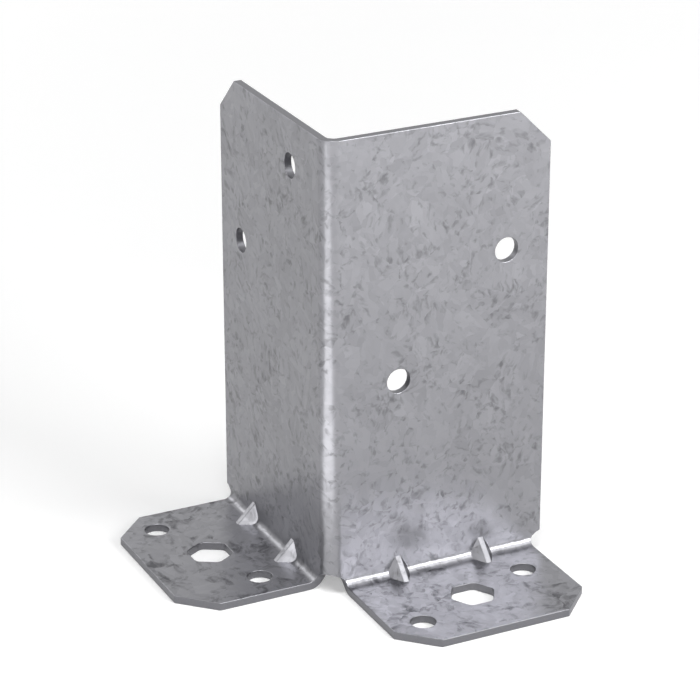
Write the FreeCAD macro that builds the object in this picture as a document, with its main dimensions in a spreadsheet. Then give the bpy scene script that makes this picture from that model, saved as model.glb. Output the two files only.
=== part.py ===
"""Timber post base: one blank of galvanised sheet, folded and pressed.

Two legs meet at a vertical bend and wrap one corner of a timber post.  A foot
turns out from the bottom of each leg and is bolted down to the concrete.
Two pressed gussets stiffen each foot bend.

The origin is the post's corner: the inner faces of the legs lie in the planes
Y = 0 and X = 0, and the feet stand on Z = 0.  The post stands in +X +Y.
The half on the X leg is modelled and mirrored about the diagonal X = Y, and
then each leg and foot gets its own screw holes, which are not mirror images.
"""
import FreeCAD, Part
import math
import os

import Sketcher

# Millimetres, degrees and plain numbers.
SIZES = {
    "sheet_thickness": 2.75,
    "bend_radius": 2.75,           # inside face of every bend
    "neutral_fraction": 0.5,       # depth of the unstretched layer in a bend, from its inside face
    "leg_width": 76.2,             # post corner to the free edge of a leg
    "leg_height": 155.0,           # floor to the top of a leg
    "leg_chamfer": 11.35,
    "foot_reach": 45.7,            # outer face of a leg to the free edge of its foot
    "foot_setback": 3.7,           # far edge of a foot to the free edge of its leg
    "foot_chamfer": 11.35,
    "leg_screw_hole": 8.2,
    "leg_screw_offset": 22.95,     # post corner to the nearer screw of a leg
    "leg_screw_pitch": 38.1,       # across the leg and up it
    "top_screw_margin": 15.4,      # upper screw of the Y leg to the top
    "screw_stagger": 30.1,         # how much lower the screws of the X leg sit
    "foot_screw_hole": 8.2,
    "foot_screw_spread": 45.7,     # between the two screws, along the foot
    "foot_screw_near_row": 15.35,  # outer face of the leg to the nearer screw
    "foot_screw_far_row": 32.45,
    "anchor_hex_width": 13.5,      # across flats
    "anchor_hex_reach": 23.0,      # outer face of the leg to the centre of the hexagon
    "anchor_hex_corner": 2.4,
    "gusset_spacing": 30.5,
    "gusset_size": 6.45,           # how far the crest climbs the leg and runs out on the foot
    "gusset_crest": 1.9,           # width of the flat strip along the crest
    "gusset_edge_radius": 0.4,     # along both edges of that strip
    "gusset_flank_angle": 38.0,    # flank to the mid-plane of the gusset
    "groove_nose": 0.8,            # flat at the bottom of the groove behind a gusset
}

doc = FreeCAD.newDocument("post_base")
sheet = doc.addObject("Spreadsheet::Sheet", "Sizes")
for row, (name, value) in enumerate(SIZES.items(), 1):
    sheet.set(f"A{row}", name)
    sheet.set(f"B{row}", str(value))
    sheet.setAlias(f"B{row}", name)
doc.recompute()


class Length:
    """A value that also carries its expression on the sheet, so sums of sizes stay live."""

    def __init__(self, value, text):
        self.value = value
        self.text = text

    def __add__(self, other):
        other = length(other)
        return Length(self.value + other.value, f"({self.text} + {other.text})")

    def __sub__(self, other):
        other = length(other)
        return Length(self.value - other.value, f"({self.text} - {other.text})")

    def __mul__(self, other):
        other = length(other)
        return Length(self.value * other.value, f"({self.text} * {other.text})")

    def __truediv__(self, other):
        other = length(other)
        return Length(self.value / other.value, f"({self.text} / {other.text})")

    def __neg__(self):
        return Length(-self.value, f"(0 - {self.text})")


def length(item):
    """The sheet's value for an alias, or a bare number as a Length."""
    if isinstance(item, Length):
        return item
    if isinstance(item, str):
        return Length(float(SIZES[item]), f"Sizes.{item}")
    return Length(float(item), f"({item:.9g})")


def root(square):
    """Square root that stops at zero."""
    return Length(math.sqrt(max(square.value, 0.0)), f"sqrt(max({square.text}; 0))")


def tangent(angle):
    return Length(math.tan(math.radians(angle.value)), f"tan({angle.text})")


def sine(angle):
    return Length(math.sin(math.radians(angle.value)), f"sin({angle.text})")


THICK = length("sheet_thickness")
INNER = length("bend_radius")
OUTER = INNER + THICK
LEG_END = length("leg_width")
LEG_TOP = length("leg_height")
BEND_TOP = THICK + INNER                       # height at which a leg becomes flat
FOOT_FLAT = -(THICK + INNER)                   # Y at which the foot of the X leg becomes flat
FOOT_EDGE = -(THICK + "foot_reach")

# One round punch makes every notch in the flat blank.  At the corner it is centred where the
# bend lines cross and passes through the points where the bends meet, so it sets the gap
# between the feet.  HALF_BEND is half the length of a bend in the layer that does not stretch.
NEUTRAL = INNER + THICK * "neutral_fraction"
HALF_BEND = NEUTRAL * (math.pi / 4)
PUNCH = HALF_BEND * math.sqrt(2)
FOOT_START = INNER + PUNCH - HALF_BEND
FOOT_END = LEG_END - "foot_setback"
FOOT_MIDDLE = (FOOT_START + FOOT_END) / 2


def origin_plane(body, role):
    for feature in body.Origin.OriginFeatures:
        if feature.Role == role:
            return feature
    raise LookupError(role)


def new_sketch(body, name, role, base=(0, 0, 0), axis=(1, 0, 0), angle=0):
    """A sketch on an origin plane; base is a shift along the plane's own axes and normal."""
    sketch = body.newObject("Sketcher::SketchObject", name)
    sketch.AttachmentSupport = [(origin_plane(body, role), "")]
    sketch.MapMode = "FlatFace"
    shift = [length(item) for item in base]
    sketch.AttachmentOffset = FreeCAD.Placement(
        FreeCAD.Vector(*[item.value for item in shift]),
        FreeCAD.Rotation(FreeCAD.Vector(*axis), angle))
    for letter, item in zip("xyz", shift):
        if "Sizes" in item.text:
            sketch.setExpression(f"AttachmentOffset.Base.{letter}", item.text)
    return sketch


def pin_point(sketch, geometry, end, x, y, name):
    """Fixes a point's two coordinates, each bound to the sheet where it comes from it."""
    for kind, item in (("DistanceX", x), ("DistanceY", y)):
        item = length(item)
        if abs(item.value) < 1e-9 and "Sizes" not in item.text:
            axis = -2 if kind == "DistanceX" else -1
            sketch.addConstraint(Sketcher.Constraint("PointOnObject", geometry, end, axis))
            continue
        index = sketch.addConstraint(
            Sketcher.Constraint(kind, -1, 1, geometry, end, item.value))
        sketch.renameConstraint(index, f"{name}{kind[-1]}")
        if "Sizes" in item.text:
            sketch.setExpression(f"Constraints.{name}{kind[-1]}", item.text)


def draw_outline(sketch, corners):
    """A closed outline of straight lines through corners, given as (x, y) pairs."""
    points = [FreeCAD.Vector(length(x).value, length(y).value, 0) for x, y in corners]
    count = len(points)
    for i in range(count):
        sketch.addGeometry(Part.LineSegment(points[i], points[(i + 1) % count]), False)
    for i in range(count):
        sketch.addConstraint(Sketcher.Constraint("Coincident", i, 2, (i + 1) % count, 1))
    for i, (x, y) in enumerate(corners):
        pin_point(sketch, i, 1, x, y, f"corner{i}")
    return sketch


def draw_circle(sketch, x, y, diameter, name):
    centre = FreeCAD.Vector(length(x).value, length(y).value, 0)
    circle = sketch.addGeometry(
        Part.Circle(centre, FreeCAD.Vector(0, 0, 1), length(diameter).value / 2), False)
    pin_point(sketch, circle, 3, x, y, name)
    index = sketch.addConstraint(
        Sketcher.Constraint("Diameter", circle, length(diameter).value))
    sketch.renameConstraint(index, f"{name}Size")
    sketch.setExpression(f"Constraints.{name}Size", length(diameter).text)


def draw_rectangle(sketch, left, bottom, right, top):
    return draw_outline(sketch, [(left, bottom), (right, bottom), (right, top), (left, top)])


def bind(feature, name, item):
    setattr(feature, name, length(item).value)
    feature.setExpression(name, length(item).text)


def pad(body, name, sketch, depth):
    feature = body.newObject("PartDesign::Pad", name)
    feature.Profile = sketch
    bind(feature, "Length", depth)
    return feature


def turn(body, name, sketch, axis, backwards):
    """Half of a right-angle bend: the sketch turned 45 degrees about one of its own axes."""
    feature = body.newObject("PartDesign::Revolution", name)
    feature.Profile = sketch
    feature.ReferenceAxis = (sketch, [axis])
    feature.Angle = 45
    feature.Reversed = backwards
    return feature


def pocket_through(body, name, sketch):
    feature = body.newObject("PartDesign::Pocket", name)
    feature.Profile = sketch
    feature.Type = "ThroughAll"
    feature.Midplane = True
    return feature


def loft(body, kind, name, sketches):
    feature = body.newObject(kind, name)
    feature.Profile = sketches[0]
    feature.Sections = [(sketch, [""]) for sketch in sketches[1:]]
    return feature


NOTCH_ANGLES = (0, 9, 18, 27, 36, 45)          # from the middle of a bend to its end


def notch_half_width(angle):
    """Half the width of the punched notch, at an angle past the middle of the bend."""
    along = HALF_BEND * (angle / 45)
    return root(PUNCH * PUNCH - along * along)


def settle(stage):
    """Recomputes, and stops at the first object that failed."""
    doc.recompute()
    for item in doc.Objects:
        if "Invalid" in item.State or "Error" in item.State:
            raise RuntimeError(f"{stage}: {item.Label} is {item.State}")


body = doc.addObject("PartDesign::Body", "post_base")
body.Label = "post_base"

# Flat of the X leg, above its foot bend.  The punch leaves a round bite at its free edge.
leg = new_sketch(body, "LegOutline", "XZ_Plane")
bite_start = FOOT_END + PUNCH - notch_half_width(45)
bite_centre = (FOOT_END + PUNCH, BEND_TOP - HALF_BEND)
bite_rise = root(PUNCH * PUNCH - (bite_centre[0] - LEG_END) * (bite_centre[0] - LEG_END))
bite_top = bite_centre[1] + bite_rise
leg_corners = [
    (INNER, BEND_TOP),
    (bite_start, BEND_TOP),
    (LEG_END, bite_top),
    (LEG_END, LEG_TOP - "leg_chamfer"),
    (LEG_END - "leg_chamfer", LEG_TOP),
    (INNER, LEG_TOP),
]
leg_points = [FreeCAD.Vector(x.value, y.value, 0) for x, y in leg_corners]
centre_point = FreeCAD.Vector(bite_centre[0].value, bite_centre[1].value, 0)
for i, start in enumerate(leg_points):
    end = leg_points[(i + 1) % len(leg_points)]
    if i == 1:
        circle = Part.Circle(centre_point, FreeCAD.Vector(0, 0, 1), PUNCH.value)
        angles = [math.atan2(p.y - centre_point.y, p.x - centre_point.x) for p in (end, start)]
        leg.addGeometry(Part.ArcOfCircle(circle, *angles), False)
    else:
        leg.addGeometry(Part.LineSegment(start, end), False)
# The arc, item 1, runs the other way round, so it meets the bottom edge with its end.
leg.addConstraint(Sketcher.Constraint("Coincident", 0, 2, 1, 2))
leg.addConstraint(Sketcher.Constraint("Coincident", 1, 1, 2, 1))
for i in (2, 3, 4, 5):
    leg.addConstraint(Sketcher.Constraint("Coincident", i, 2, (i + 1) % len(leg_points), 1))
pin_point(leg, 1, 3, *bite_centre, "bite")
for i, corner in ((0, 0), (3, 3), (4, 4), (5, 5)):
    pin_point(leg, i, 1, *leg_corners[corner], f"corner{corner}")
leg.addConstraint(Sketcher.Constraint("Horizontal", 0))
leg.addConstraint(Sketcher.Constraint("Vertical", 2))
index = leg.addConstraint(Sketcher.Constraint("Radius", 1, PUNCH.value))
leg.renameConstraint(index, "punch")
leg.setExpression("Constraints.punch", PUNCH.text)
pad(body, "LegFlat", leg, THICK)
settle("leg")

# Half of the bend between the legs, from the X leg to the diagonal.
post_axis = (INNER, 0, INNER)
bend = new_sketch(body, "CornerBendSection", "YZ_Plane", post_axis)
draw_rectangle(bend, -OUTER, BEND_TOP, -INNER, LEG_TOP)
turn(body, "CornerBend", bend, "V_Axis", True)
settle("corner bend")

# The notch between the feet runs up into the corner bend as an arch.
arch = []
for angle in NOTCH_ANGLES:
    section = new_sketch(body, f"ArchSection{angle}", "YZ_Plane", post_axis,
                         (0, 1, 0), angle - 45)
    top = BEND_TOP - HALF_BEND + notch_half_width(angle)
    draw_rectangle(section, -(OUTER + 1), INNER, -(INNER / 2), top)
    arch.append(section)
loft(body, "PartDesign::SubtractiveLoft", "CornerArch", arch)
settle("corner arch")

# Upper half of the foot bend, next to the leg.
foot_axis = (0, FOOT_FLAT, BEND_TOP)
bend = new_sketch(body, "UpperBendSection", "XY_Plane", foot_axis)
draw_rectangle(bend, INNER, INNER, LEG_END, OUTER)
turn(body, "UpperFootBend", bend, "H_Axis", True)
settle("upper bend")

# Both ends of that half follow the round punch, square to the sheet all the way.
corner_sections = []
edge_sections = []
for angle in NOTCH_ANGLES:
    tilt = (foot_axis, (1, 0, 0), angle - 45)
    flare = INNER - HALF_BEND + notch_half_width(angle)
    bite = FOOT_END + PUNCH - notch_half_width(angle)
    section = new_sketch(body, f"FlareSection{angle}", "XY_Plane", *tilt)
    draw_rectangle(section, INNER / 2, INNER / 2, flare, OUTER + 1)
    corner_sections.append(section)
    section = new_sketch(body, f"BiteSection{angle}", "XY_Plane", *tilt)
    draw_rectangle(section, bite, INNER / 2, LEG_END + 1, OUTER + 1)
    edge_sections.append(section)
loft(body, "PartDesign::SubtractiveLoft", "CornerFlare", corner_sections)
loft(body, "PartDesign::SubtractiveLoft", "EdgeBite", edge_sections)
settle("flares")

# Lower half of the foot bend, then the flat of the foot.
bend = new_sketch(body, "LowerBendSection", "XZ_Plane", (0, BEND_TOP, -FOOT_FLAT))
draw_rectangle(bend, FOOT_START, -OUTER, FOOT_END, -INNER)
turn(body, "LowerFootBend", bend, "H_Axis", False)
foot = new_sketch(body, "FootOutline", "XY_Plane")
draw_outline(foot, [
    (FOOT_START, FOOT_FLAT),
    (FOOT_START, FOOT_EDGE + "foot_chamfer"),
    (FOOT_START + "foot_chamfer", FOOT_EDGE),
    (FOOT_END - "foot_chamfer", FOOT_EDGE),
    (FOOT_END, FOOT_EDGE + "foot_chamfer"),
    (FOOT_END, FOOT_FLAT),
])
pad(body, "FootFlat", foot, THICK)
settle("foot")

# Hexagonal anchor hole with rounded corners, two of its flats parallel to the leg.
hex_radius = length("anchor_hex_width") / (2 * math.cos(math.radians(30)))
hex_middle = -(THICK + "anchor_hex_reach")
hexagon = new_sketch(body, "AnchorHexagon", "XY_Plane")
draw_outline(hexagon, [
    (FOOT_MIDDLE + hex_radius * math.cos(math.radians(60 * i)),
     hex_middle + hex_radius * math.sin(math.radians(60 * i)))
    for i in range(6)
])
anchor = pocket_through(body, "AnchorHole", hexagon)
settle("anchor hole")
hex_edges = []
for i, edge in enumerate(anchor.Shape.Edges, 1):
    middle = edge.CenterOfMass
    reach = math.hypot(middle.x - FOOT_MIDDLE.value, middle.y - hex_middle.value)
    upright = abs(edge.BoundBox.ZLength - THICK.value) < 1e-6
    if upright and abs(reach - hex_radius.value) < 1e-6:
        hex_edges.append(f"Edge{i}")
corners = body.newObject("PartDesign::Fillet", "AnchorCorners")
corners.Base = (anchor, hex_edges)
bind(corners, "Radius", "anchor_hex_corner")
settle("anchor corners")

# Pressed gussets.  The crest is a narrow flat strip at 45 degrees from leg to foot, with
# a plane flank down each side.  Depths are measured from the crest towards the corner.
RISE = length("gusset_size")
HALF_CREST = length("gusset_crest") / 2
FLANK = tangent(length("gusset_flank_angle"))
HALF_ROOT = 1 / math.sqrt(2)
gusset_x = FOOT_MIDDLE - length("gusset_spacing") / 2
embed = THICK / 4
ridge = []
for depth in (length(0), RISE * HALF_ROOT - embed / 2):
    down = depth * HALF_ROOT
    centre = (gusset_x, down - THICK - RISE / 2, THICK + RISE / 2 - down)
    section = new_sketch(body, f"RidgeSection{len(ridge)}", "XY_Plane", centre, (1, 0, 0), 45)
    half_width = HALF_CREST + depth * FLANK
    half_length = RISE * HALF_ROOT - depth + embed
    draw_rectangle(section, -half_width, -half_length, half_width, half_length)
    ridge.append(section)
ridge_loft = loft(body, "PartDesign::AdditiveLoft", "GussetRidge", ridge)

# The groove pressed behind it keeps the flanks as thick as the sheet.
half_nose = length("groove_nose") / 2
nose_depth = THICK / sine(length("gusset_flank_angle")) + (half_nose - HALF_CREST) / FLANK
mouth_depth = RISE * HALF_ROOT + THICK * math.sqrt(2) + 1
half_mouth = half_nose + (mouth_depth - nose_depth) * FLANK
centre = (gusset_x, -(THICK + RISE / 2), THICK + RISE / 2)
groove = new_sketch(body, "GrooveProfile", "XY_Plane", centre, (1, 0, 0), 135)
draw_outline(groove, [
    (-half_nose, -nose_depth),
    (-half_mouth, -mouth_depth),
    (half_mouth, -mouth_depth),
    (half_nose, -nose_depth),
])
groove_pocket = pocket_through(body, "GussetGroove", groove)
settle("gusset")

pair = body.newObject("PartDesign::LinearPattern", "GussetPair")
pair.Originals = [ridge_loft, groove_pocket]
pair.Direction = (foot, ["H_Axis"])
pair.Occurrences = 2
bind(pair, "Length", "gusset_spacing")
body.Tip = pair
settle("gusset pair")
crest_plane = THICK * 2 + RISE                 # Z - Y all over the crests
crest_edges = []
for i, edge in enumerate(pair.Shape.Edges, 1):
    middle = edge.CenterOfMass
    slanted = abs(edge.BoundBox.XLength) < 1e-6 and edge.BoundBox.YLength > 1
    if slanted and abs(middle.z - middle.y - crest_plane.value) < 1e-6:
        crest_edges.append(f"Edge{i}")
rounded = body.newObject("PartDesign::Fillet", "GussetEdges")
rounded.Base = (pair, crest_edges)
bind(rounded, "Radius", "gusset_edge_radius")
settle("gusset edges")

# The other half of the blank, across the diagonal.
diagonal = body.newObject("PartDesign::Plane", "Diagonal")
diagonal.AttachmentSupport = [(origin_plane(body, "YZ_Plane"), "")]
diagonal.MapMode = "FlatFace"
diagonal.AttachmentOffset = FreeCAD.Placement(
    FreeCAD.Vector(0, 0, 0), FreeCAD.Rotation(FreeCAD.Vector(0, 1, 0), -45))
whole = body.newObject("PartDesign::Mirrored", "BothHalves")
whole.MirrorPlane = (diagonal, [""])
whole.TransformMode = "Whole shape"
body.Tip = whole
settle("both halves")

# Screw holes.  Seen from outside, each leg and each foot has one at the lower left and
# one at the upper right.
SCREW = length("leg_screw_hole")
near = length("leg_screw_offset")
far = near + "leg_screw_pitch"
high = LEG_TOP - "top_screw_margin"
low = high - "leg_screw_pitch"
stagger = length("screw_stagger")
screws = new_sketch(body, "XLegScrews", "XZ_Plane")
draw_circle(screws, near, low - stagger, SCREW, "low")
draw_circle(screws, far, high - stagger, SCREW, "high")
pocket_through(body, "XLegHoles", screws)
screws = new_sketch(body, "YLegScrews", "YZ_Plane")
draw_circle(screws, far, low, SCREW, "low")
draw_circle(screws, near, high, SCREW, "high")
pocket_through(body, "YLegHoles", screws)

FIXING = length("foot_screw_hole")
spread = length("foot_screw_spread") / 2
near_row = -(THICK + "foot_screw_near_row")
far_row = -(THICK + "foot_screw_far_row")
screws = new_sketch(body, "FootScrews", "XY_Plane")
draw_circle(screws, FOOT_MIDDLE - spread, far_row, FIXING, "xFar")
draw_circle(screws, FOOT_MIDDLE + spread, near_row, FIXING, "xNear")
draw_circle(screws, near_row, FOOT_MIDDLE - spread, FIXING, "yNear")
draw_circle(screws, far_row, FOOT_MIDDLE + spread, FIXING, "yFar")
pocket_through(body, "FootHoles", screws)
settle("screw holes")

shape = body.Shape
if shape.isNull() or not shape.isValid() or len(shape.Solids) != 1:
    raise RuntimeError("post_base is not one valid solid")
os.makedirs("parts", exist_ok=True)
shape.exportStep(os.path.join("parts", body.Label + ".step"))
box = shape.BoundBox
print(f"{body.Label}: volume {shape.Volume:.1f} mm3, box {box.XLength:.2f} x {box.YLength:.2f} "
      f"x {box.ZLength:.2f} mm, {len(shape.Faces)} faces")
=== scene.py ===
import math

import bmesh
import bpy
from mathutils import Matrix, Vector


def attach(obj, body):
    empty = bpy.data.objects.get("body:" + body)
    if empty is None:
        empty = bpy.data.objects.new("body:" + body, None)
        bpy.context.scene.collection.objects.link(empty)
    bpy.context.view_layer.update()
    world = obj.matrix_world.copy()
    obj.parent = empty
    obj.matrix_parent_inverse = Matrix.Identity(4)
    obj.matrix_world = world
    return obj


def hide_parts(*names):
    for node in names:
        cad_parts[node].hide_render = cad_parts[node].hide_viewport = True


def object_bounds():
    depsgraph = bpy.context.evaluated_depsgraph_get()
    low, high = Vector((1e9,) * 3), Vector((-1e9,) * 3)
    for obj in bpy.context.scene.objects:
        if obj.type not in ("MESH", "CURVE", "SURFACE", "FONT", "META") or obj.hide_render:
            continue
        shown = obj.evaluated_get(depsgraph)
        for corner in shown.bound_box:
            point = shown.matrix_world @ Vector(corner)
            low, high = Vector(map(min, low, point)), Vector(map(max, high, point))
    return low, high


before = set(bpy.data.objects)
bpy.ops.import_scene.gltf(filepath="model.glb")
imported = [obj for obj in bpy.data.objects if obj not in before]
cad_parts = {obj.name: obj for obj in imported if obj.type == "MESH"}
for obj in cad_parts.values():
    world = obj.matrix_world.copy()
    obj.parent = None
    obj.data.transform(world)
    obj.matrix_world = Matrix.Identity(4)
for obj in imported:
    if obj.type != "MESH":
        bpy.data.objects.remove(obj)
cadLow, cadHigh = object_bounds()
mm = 0.001
print("frame loaded")


def linearColour(hexText):
    channels = [int(hexText[i:i + 2], 16) / 255 for i in (1, 3, 5)]
    return [c / 12.92 if c <= 0.04045 else ((c + 0.055) / 1.055) ** 2.4 for c in channels] + [1.0]


def addNode(tree, kind, values=None, **settings):
    # a value that is a socket is linked, anything else is typed into the input
    node = tree.nodes.new(kind)
    for name, value in settings.items():
        setattr(node, name, value)
    for name, value in (values or {}).items():
        if isinstance(value, bpy.types.NodeSocket):
            tree.links.new(value, node.inputs[name])
        else:
            node.inputs[name].default_value = value
    return node


def newMaterial(name):
    material = bpy.data.materials.new(name)
    material.use_nodes = True
    material.node_tree.nodes.clear()
    return material, material.node_tree


# Hot-dip galvanised steel: the zinc freezes in crystals (the spangle).  Under a skin that is nearly
# one grey, that gives faint angular patches and small, feathery, darker flecks in loose chains.
spangle = {
    "zinc": "#8B8B8F",
    "fleckZinc": "#666669",
    "footFleckZinc": "#444448",
    "patch": 8.0 * mm,
    "crystal": 3.2 * mm,
    "crystalCells": 1.4,       # cells of the pattern across one crystal
    "crystalLength": 0.4,      # the smaller, the longer
    "feather": 2.2 * mm,
    "footFeather": 3.6 * mm,
    "featherLength": 0.42,
    "chain": 11.0 * mm,
    "push": 1.5 * mm,          # how far outlines are pushed about
    "pushSize": 5 * mm,
    "turns": 6.3,              # radians, so a patch may face any way
    "darkest": 0.88,           # tone of the skin, with a share more for each patch and crystal
    "patchTone": 0.10,
    "crystalTone": 0.10,
    "chained": 0.45,           # how far the flecks gather in chains
    "footChained": 0.50,
    "fleckFrom": 0.77,
    "fleckFull": 1.0,
    "fleckMost": 0.9,
    "footTop": 2.75 * mm,
    "footFade": 2 * mm,
    "lean": 0.07,
    "featherRange": (0.3, 0.7),
    "roughness": (0.28, 0.38),
}


def zincSpangle():
    material, tree = newMaterial("hotDipZincSpangle")
    place = addNode(tree, "ShaderNodeTexCoord").outputs["Object"]

    # crystals are never round or straight sided, so the place is pushed about first
    push = addNode(tree, "ShaderNodeTexNoise",
                   {"Vector": place, "Scale": 1 / spangle["pushSize"], "Detail": 3.0})
    centred = addNode(tree, "ShaderNodeVectorMath", {0: push.outputs["Color"], 1: (0.5, 0.5, 0.5)},
                      operation="SUBTRACT")
    shift = addNode(tree, "ShaderNodeVectorMath",
                    {0: centred.outputs["Vector"], "Scale": 2 * spangle["push"]}, operation="SCALE")
    pushed = addNode(tree, "ShaderNodeVectorMath",
                     {0: place, 1: shift.outputs["Vector"]}).outputs["Vector"]

    # every patch turns its crystals and their feathery arms another way
    patch = addNode(tree, "ShaderNodeTexVoronoi", {"Vector": pushed, "Scale": 1 / spangle["patch"]})
    angles = addNode(tree, "ShaderNodeVectorMath",
                     {0: patch.outputs["Color"], "Scale": spangle["turns"]}, operation="SCALE")
    turned = addNode(tree, "ShaderNodeVectorRotate",
                     {"Vector": pushed, "Rotation": angles.outputs["Vector"]},
                     rotation_type="EULER_XYZ")
    longWay = addNode(tree, "ShaderNodeMapping",
                      {"Vector": turned.outputs["Vector"],
                       "Scale": (1.0, spangle["crystalLength"], 1.0)})
    crystal = addNode(tree, "ShaderNodeTexVoronoi",
                      {"Vector": longWay.outputs["Vector"],
                       "Scale": spangle["crystalCells"] / spangle["crystal"]})
    arms = addNode(tree, "ShaderNodeMapping",
                   {"Vector": turned.outputs["Vector"],
                    "Scale": (1.0, spangle["featherLength"], 1.0)})
    feather = addNode(tree, "ShaderNodeTexNoise",
                      {"Vector": arms.outputs["Vector"], "Scale": 1 / spangle["feather"],
                       "Detail": 2.5, "Roughness": 0.55, "Distortion": 0.4})
    chain = addNode(tree, "ShaderNodeTexNoise",
                    {"Vector": place, "Scale": 1 / spangle["chain"], "Detail": 2.0})

    # grey of the skin: patch and crystal each a little lighter or darker
    patchTone = addNode(tree, "ShaderNodeSeparateColor", {"Color": patch.outputs["Color"]})
    crystalTone = addNode(tree, "ShaderNodeSeparateColor", {"Color": crystal.outputs["Color"]})
    byPatch = addNode(tree, "ShaderNodeMath",
                      {0: patchTone.outputs["Green"], 1: spangle["patchTone"],
                       2: spangle["darkest"]}, operation="MULTIPLY_ADD")
    byCrystal = addNode(tree, "ShaderNodeMath",
                        {0: crystalTone.outputs["Red"], 1: spangle["crystalTone"],
                         2: byPatch.outputs["Value"]}, operation="MULTIPLY_ADD")
    skin = addNode(tree, "ShaderNodeVectorMath",
                   {0: linearColour(spangle["zinc"])[:3], "Scale": byCrystal.outputs["Value"]},
                   operation="SCALE")

    # flecks: where a feathery arm is strongest, most of them where the chains run
    strength = addNode(tree, "ShaderNodeMath",
                       {0: chain.outputs["Fac"], 1: spangle["chained"],
                        2: feather.outputs["Fac"]},
                       operation="MULTIPLY_ADD")
    # below the top of the feet, the flecks are larger and darker than on the legs
    height = addNode(tree, "ShaderNodeSeparateXYZ", {"Vector": place})
    low = addNode(tree, "ShaderNodeMapRange",
                  {"Value": height.outputs["Z"], "From Min": spangle["footTop"],
                   "From Max": spangle["footTop"] + spangle["footFade"],
                   "To Min": 1.0, "To Max": 0.0})
    footFeather = addNode(tree, "ShaderNodeTexNoise",
                          {"Vector": arms.outputs["Vector"], "Scale": 1 / spangle["footFeather"],
                           "Detail": 4.0, "Roughness": 0.6, "Distortion": 0.6})
    footStrength = addNode(tree, "ShaderNodeMath",
                           {0: chain.outputs["Fac"], 1: spangle["footChained"],
                            2: footFeather.outputs["Fac"]},
                           operation="MULTIPLY_ADD")
    strength = addNode(tree, "ShaderNodeMix",
                       {"Factor": low.outputs["Result"], 2: strength.outputs["Value"],
                        3: footStrength.outputs["Value"]}, data_type="FLOAT")
    fleck = addNode(tree, "ShaderNodeMapRange",
                    {"Value": strength.outputs[0], "From Min": spangle["fleckFrom"],
                     "From Max": spangle["fleckFull"], "To Max": spangle["fleckMost"]})
    dark = addNode(tree, "ShaderNodeMix",
                   {"Factor": low.outputs["Result"], 6: linearColour(spangle["fleckZinc"]),
                    7: linearColour(spangle["footFleckZinc"])}, data_type="RGBA")
    colour = addNode(tree, "ShaderNodeMix",
                     {"Factor": fleck.outputs["Result"], 6: skin.outputs["Vector"],
                      7: dark.outputs[2]}, data_type="RGBA")

    # each crystal's face leans a little, so the mirror image breaks up crystal by crystal
    lean = addNode(tree, "ShaderNodeVectorMath",
                   {0: crystal.outputs["Color"], 1: (0.5, 0.5, 0.5)}, operation="SUBTRACT")
    lean = addNode(tree, "ShaderNodeVectorMath",
                   {0: lean.outputs["Vector"], "Scale": spangle["lean"]}, operation="SCALE")
    straight = addNode(tree, "ShaderNodeNewGeometry").outputs["Normal"]
    leaning = addNode(tree, "ShaderNodeVectorMath", {0: straight, 1: lean.outputs["Vector"]})
    normal = addNode(tree, "ShaderNodeVectorMath", {0: leaning.outputs["Vector"]},
                     operation="NORMALIZE")
    weakest, strongest = spangle["featherRange"]
    smoothest, roughest = spangle["roughness"]
    rough = addNode(tree, "ShaderNodeMapRange",
                    {"Value": feather.outputs["Fac"], "From Min": weakest, "From Max": strongest,
                     "To Min": smoothest, "To Max": roughest})
    zinc = addNode(tree, "ShaderNodeBsdfPrincipled",
                   {"Base Color": colour.outputs[2], "Metallic": 1.0,
                    "Roughness": rough.outputs["Result"], "Normal": normal.outputs["Vector"]})
    addNode(tree, "ShaderNodeOutputMaterial", {"Surface": zinc.outputs["BSDF"]})
    return material


# Sheared and punched edge of the sheet, zinc wiped thin over bright steel: even, darker, finely
# drawn through the thickness.
cutEdge = {"steel": "#78787C", "darkSteel": "#6E6E72", "roughness": 0.42, "grain": 0.5 * mm}


def shearedEdge():
    material, tree = newMaterial("shearedSteelEdge")
    place = addNode(tree, "ShaderNodeTexCoord").outputs["Object"]
    grain = addNode(tree, "ShaderNodeTexNoise",
                    {"Vector": place, "Scale": 1 / cutEdge["grain"], "Detail": 2.0})
    colour = addNode(tree, "ShaderNodeMix",
                     {"Factor": grain.outputs["Fac"], 6: linearColour(cutEdge["darkSteel"]),
                      7: linearColour(cutEdge["steel"])}, data_type="RGBA")
    steel = addNode(tree, "ShaderNodeBsdfPrincipled",
                    {"Base Color": colour.outputs[2], "Metallic": 1.0,
                     "Roughness": cutEdge["roughness"]})
    addNode(tree, "ShaderNodeOutputMaterial", {"Surface": steel.outputs["BSDF"]})
    return material


# The folded sheet keeps the frame's shape.  Its cut edges are told from its skin, and their
# corners are eased a little, as the zinc bath leaves them.
sheet = {
    "thickness": 2.75 * mm,
    "innerRadius": 2.75 * mm,
    "easedEdge": 0.28 * mm,
    "cutShare": 0.3,           # a cut face looks along the sheet, so little of it looks across
    "weld": 0.001 * mm,
    # degrees between two faces
    "flatWithin": 0.5,
    "easedFrom": 30.0,
    "crispFrom": 24.0,
}


def sheetNormal(point):
    # direction straight through the sheet at a point
    bend = sheet["innerRadius"]
    outer = bend + sheet["thickness"]
    bendTop = sheet["thickness"] + bend
    if point.z < bendTop:
        if point.x > point.y:
            reach = point.y + outer
            across = Vector((0, reach, point.z - bendTop))
        else:
            reach = point.x + outer
            across = Vector((reach, 0, point.z - bendTop))
        return across.normalized() if reach > 0 else Vector((0, 0, 1))
    if point.x < bend and point.y < bend:
        return Vector((point.x - bend, point.y - bend, 0)).normalized()
    return Vector((0, 1, 0)) if point.x > point.y else Vector((1, 0, 0))


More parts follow.
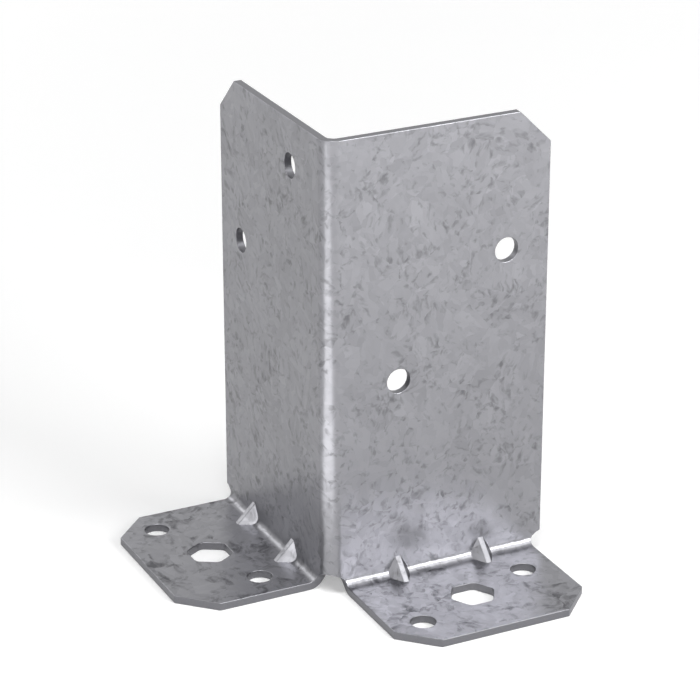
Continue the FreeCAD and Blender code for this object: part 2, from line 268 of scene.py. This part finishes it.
def foldedSheet(skin, edge):
    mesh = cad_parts["post_base"].data.copy()
    mesh.name = "foldedSheet"
    mesh.materials.clear()
    mesh.materials.append(skin)
    mesh.materials.append(edge)
    form = bmesh.new()
    form.from_mesh(mesh)
    bmesh.ops.remove_doubles(form, verts=form.verts, dist=sheet["weld"])
    bmesh.ops.dissolve_limit(form, angle_limit=math.radians(sheet["flatWithin"]),
                             verts=form.verts, edges=form.edges)
    for face in form.faces:
        through = abs(face.normal.dot(sheetNormal(face.calc_center_median())))
        face.material_index = 1 if through < sheet["cutShare"] else 0
    sharp = math.radians(sheet["easedFrom"])
    sheared = [e for e in form.edges if e.is_convex and e.calc_face_angle() > sharp
               and any(f.material_index for f in e.link_faces)]
    bmesh.ops.bevel(form, geom=sheared, offset=sheet["easedEdge"], offset_type="OFFSET",
                    affect="EDGES", segments=2, profile=0.5, material=-1, clamp_overlap=False)
    for face in form.faces:
        face.smooth = True
    # inside corners, as at the foot of a gusset, stay crisp
    crisp = math.radians(sheet["crispFrom"])
    for crease in form.edges:
        crease.smooth = crease.is_convex or crease.calc_face_angle() < crisp
    form.to_mesh(mesh)
    form.free()
    if mesh.attributes.get("custom_normal"):
        mesh.attributes.remove(mesh.attributes["custom_normal"])
    piece = bpy.data.objects.new("foldedSheet", mesh)
    bpy.context.scene.collection.objects.link(piece)
    even = piece.modifiers.new("evenShading", "WEIGHTED_NORMAL")
    even.keep_sharp = True
    even.weight = 100
    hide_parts("post_base")
    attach(piece, "root")
    return piece


foldedSheet(zincSpangle(), shearedEdge())
print("sheet made")

# Plain pale studio: a pale floor, six soft lamps, and two strips of light lying on the floor at
# the left, which the corner bend mirrors.
studio = {
    "floorColour": "#E6E6E6",
    "floorRoughness": 0.9,
    "floorSize": 6.0,
    "floorDrop": 0.05 * mm,
    # light added to the floor where it is looked at: near the sheet, and out where no lamp reaches
    "nearLift": 0.24,
    "farLift": 0.85,
    "liftFrom": 0.3,
    "liftFull": 1.6,
    "ambient": 0.20,
    "lampAim": (0.03, 0.03, 0.06),
    "lampDistance": 1.2,
    # azimuth, elevation, width, height, watts
    "rightLamp": (26, 24, 0.45, 0.38, 9.5),
    "leftLamp": (-152, 26, 0.6, 0.4, 1.5),
    "crestLamp": (46, 55, 0.6, 0.45, 2.8),
    "frontLamp": (-26, 23, 0.5, 0.5, 2.8),
    "overheadLamp": (-40, 75, 0.45, 0.45, 6.8),
    "lowLamp": (-75, 12, 0.5, 0.4, 0.9),
    # azimuth, width, watts
    "nearStrip": (-57, 0.10, 0.22),
    "farStrip": (-75, 0.10, 0.22),
    "stripLength": 0.36,
    "stripReach": 0.24,
    "stripHeight": 2 * mm,
}


def directionOf(azimuth, elevation):
    # azimuth 0 stands in front of the X leg, 90 to its right
    turn, rise = math.radians(azimuth), math.radians(elevation)
    return Vector((math.sin(turn) * math.cos(rise), -math.cos(turn) * math.cos(rise),
                   math.sin(rise)))


def seenRay(tree):
    # 1 where the backdrop is looked at, also in a mirror or through glass
    ray = addNode(tree, "ShaderNodeLightPath")
    seen = addNode(tree, "ShaderNodeMath",
                   {0: ray.outputs["Is Camera Ray"], 1: ray.outputs["Is Glossy Ray"]},
                   operation="MAXIMUM")
    seen = addNode(tree, "ShaderNodeMath",
                   {0: seen.outputs["Value"], 1: ray.outputs["Is Transmission Ray"]},
                   operation="MAXIMUM")
    return seen.outputs["Value"]


def paleFloor():
    material, tree = newMaterial("paintedFloor")
    # the lamps reach only the middle of the floor, so what is seen further out is made up
    place = addNode(tree, "ShaderNodeTexCoord").outputs["Object"]
    reach = addNode(tree, "ShaderNodeVectorMath", {0: place}, operation="LENGTH")
    fade = addNode(tree, "ShaderNodeMapRange",
                   {"Value": reach.outputs["Value"], "From Min": studio["liftFrom"],
                    "From Max": studio["liftFull"], "To Min": studio["nearLift"],
                    "To Max": studio["farLift"]})
    lift = addNode(tree, "ShaderNodeMath", {0: seenRay(tree), 1: fade.outputs["Result"]},
                   operation="MULTIPLY")
    paint = addNode(tree, "ShaderNodeBsdfPrincipled",
                    {"Base Color": linearColour(studio["floorColour"]),
                     "Roughness": studio["floorRoughness"], "Emission Color": (1, 1, 1, 1),
                     "Emission Strength": lift.outputs["Value"]})
    addNode(tree, "ShaderNodeOutputMaterial", {"Surface": paint.outputs["BSDF"]})
    mesh = bpy.data.meshes.new("floor")
    ground = bmesh.new()
    bmesh.ops.create_grid(ground, x_segments=1, y_segments=1, size=studio["floorSize"])
    ground.to_mesh(mesh)
    ground.free()
    mesh.materials.append(material)
    floor = bpy.data.objects.new("floor", mesh)
    floor.location.z = cadLow.z - studio["floorDrop"]
    bpy.context.scene.collection.objects.link(floor)


def paleWorld():
    world = bpy.data.worlds.new("studioWorld")
    bpy.context.scene.world = world
    world.use_nodes = True
    tree = world.node_tree
    tree.nodes.clear()
    strength = addNode(tree, "ShaderNodeMapRange",
                       {"Value": seenRay(tree), "To Min": studio["ambient"], "To Max": 1.0})
    sky = addNode(tree, "ShaderNodeBackground",
                  {"Color": (1, 1, 1, 1), "Strength": strength.outputs["Result"]})
    addNode(tree, "ShaderNodeOutputWorld", {"Surface": sky.outputs["Background"]})


def areaLamp(name, place, facing, width, height, watts):
    light = bpy.data.lights.new(name, "AREA")
    light.shape = "RECTANGLE"
    light.size, light.size_y, light.energy = width, height, watts
    lamp = bpy.data.objects.new(name, light)
    lamp.location = place
    lamp.rotation_euler = facing
    lamp.visible_camera = False
    bpy.context.scene.collection.objects.link(lamp)


def softLamp(name):
    azimuth, elevation, width, height, watts = studio[name]
    away = directionOf(azimuth, elevation)
    areaLamp(name, Vector(studio["lampAim"]) + away * studio["lampDistance"],
             away.to_track_quat("Z", "Y").to_euler(), width, height, watts)


def floorStrip(name):
    azimuth, width, watts = studio[name]
    place = directionOf(azimuth, 0) * studio["stripReach"]
    place.z = cadLow.z + studio["stripHeight"]
    areaLamp(name, place, (math.pi, 0, math.radians(azimuth)), width, studio["stripLength"],
             watts)


paleFloor()
paleWorld()
for name in ("rightLamp", "leftLamp", "crestLamp", "frontLamp", "overheadLamp", "lowLamp"):
    softLamp(name)
for name in ("nearStrip", "farStrip"):
    floorStrip(name)
print("studio made")

view = {
    "azimuth": -26.245,
    "elevation": 23.344,
    "distance": 0.9062,
    "target": (0.00659, -0.00086, 0.08455),
    "lens": 148.8,
    "sensor": 36.0,
}


def makeCamera():
    back = directionOf(view["azimuth"], view["elevation"])
    camera = bpy.data.cameras.new("camera")
    camera.lens, camera.sensor_width = view["lens"], view["sensor"]
    camera.clip_start, camera.clip_end = 0.01, 100.0
    eye = bpy.data.objects.new("camera", camera)
    eye.location = Vector(view["target"]) + back * view["distance"]
    eye.rotation_euler = back.to_track_quat("Z", "Y").to_euler()
    bpy.context.scene.collection.objects.link(eye)
    bpy.context.scene.camera = eye


makeCamera()
bpy.context.scene.view_settings.view_transform = "Standard"
print("camera made")
